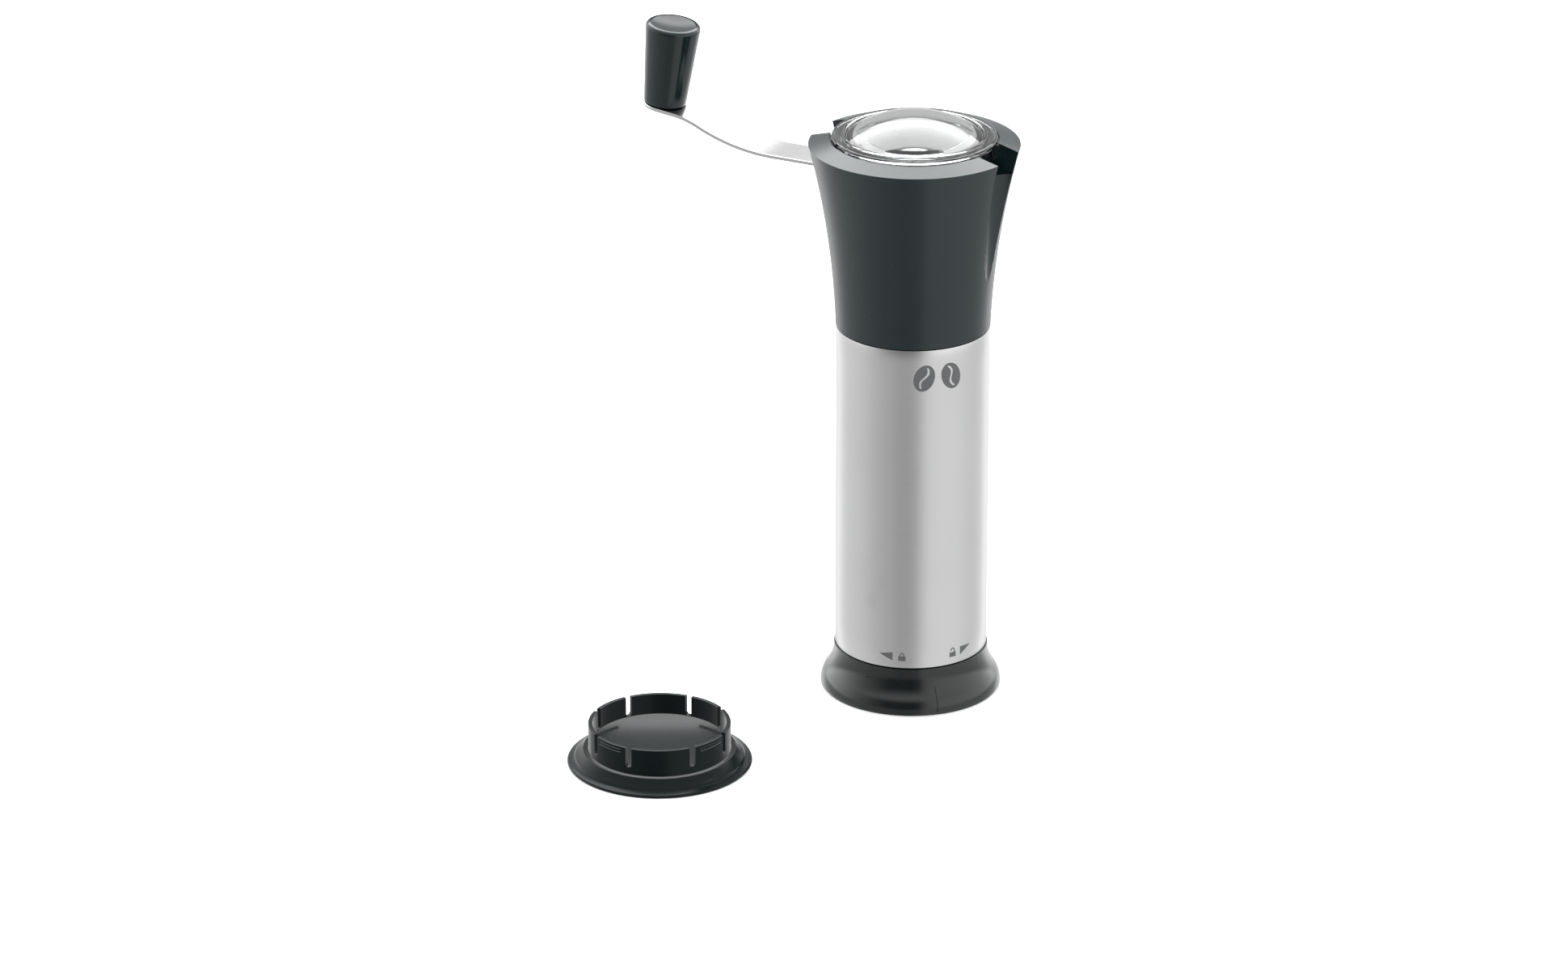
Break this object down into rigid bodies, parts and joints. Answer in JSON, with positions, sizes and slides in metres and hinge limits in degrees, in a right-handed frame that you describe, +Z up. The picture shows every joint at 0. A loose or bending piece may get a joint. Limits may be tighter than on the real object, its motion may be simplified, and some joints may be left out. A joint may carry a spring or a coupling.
{
  "type": "hand crank coffee grinder",
  "caption": "Upright hand coffee mill: brushed steel barrel, flared black head with clear domed lid and bent steel crank with black knob, flared foot and separate plug cap.",
  "frame": {"origin": "on the mill's axis, on the surface that the foot stands on", "axes": "+Z up along the mill's axis; the crank points along -X at rest; the loose cap lies on the -Y side"},
  "size_m": [0.1313, 0.1583, 0.2165],
  "materials": {
    "head_black": "satin moulded plastic, finely grained",
    "foot_black": "semi-gloss moulded plastic",
    "knob_black": "polished moulded plastic",
    "cap_black": "satin moulded plastic",
    "inner_plastic": "plain moulded plastic",
    "seal_rubber": "soft rubber",
    "washer_white": "low-friction plastic",
    "steel_brushed": "brushed round the tube",
    "steel_satin": "satin, brushed along the strip",
    "steel_plain": "bright turned steel",
    "bush_brass": "turned",
    "burr_steel": "hardened steel, as ground",
    "lid_clear": "clear acrylic, polished"
  },
  "bodies": {
    "foot": {"foot_ring": "foot_black", "foot_seal": "seal_rubber"},
    "barrel": {"steel_tube": "steel_brushed", "bayonet_ring": "inner_plastic", "bearing_ring": "inner_plastic", "glide_washer": "washer_white", "bridge_spider": "inner_plastic", "shaft_bush": "bush_brass", "burr_housing": "inner_plastic", "ring_burr": "burr_steel", "burr_retainer": "steel_plain", "retainer_screws": "steel_plain"},
    "head": {"head_shell": "head_black", "hopper_cup": "inner_plastic", "head_clip": "steel_plain", "drive_shaft": "steel_plain", "crank_boss": "inner_plastic", "crank_arm": "steel_satin", "hub_washer": "steel_plain", "hub_nut": "steel_plain", "knob_pin": "steel_plain", "shaft_end_clip": "steel_plain"},
    "knob": {"knob_grip": "knob_black", "knob_plug": "knob_black"},
    "lid": {"clear_lid": "lid_clear"},
    "burr": {"cone_burr": "burr_steel", "burr_carrier": "inner_plastic", "burr_spring": "steel_plain"},
    "dial": {"dial_insert": "bush_brass", "grind_dial": "inner_plastic"},
    "cap": {"base_cap": "cap_black"}
  },
  "joints": [
    {"name": "barrel_twist", "type": "hinge", "parent": "foot", "child": "barrel", "pos_m": [0, 0, 0.0148], "axis": [0, 0, 1], "range_deg": [0, 45]},
    {"name": "head_turn", "type": "hinge", "parent": "barrel", "child": "head", "pos_m": [0, 0, 0.1264], "axis": [0, 0, 1], "continuous": true},
    {"name": "knob_spin", "type": "hinge", "parent": "head", "child": "knob", "pos_m": [-0.091, 0, 0.18676], "axis": [0.1219, 0, 0.9925], "continuous": true},
    {"name": "lid_lift", "type": "slide", "parent": "head", "child": "lid", "axis": [0, 0, 1], "range_m": [0, 0.03]},
    {"name": "burr_lower", "type": "slide", "parent": "head", "child": "burr", "axis": [0, 0, -1], "range_m": [0, 0.0015], "deforming": ["burr_spring"]},
    {"name": "dial_turn", "type": "hinge", "parent": "burr", "child": "dial", "pos_m": [0, 0, 0.0671], "axis": [0, 0, -1], "range_deg": [0, 540]},
    {"name": "cap_lift", "type": "slide", "parent": "foot", "child": "cap", "axis": [0, 0, 1], "range_m": [0, 0.05]}
  ],
  "couplings": [
    {"joint": "dial_turn", "follows": "burr_lower", "rad_per_m": 6283.2}
  ]
}
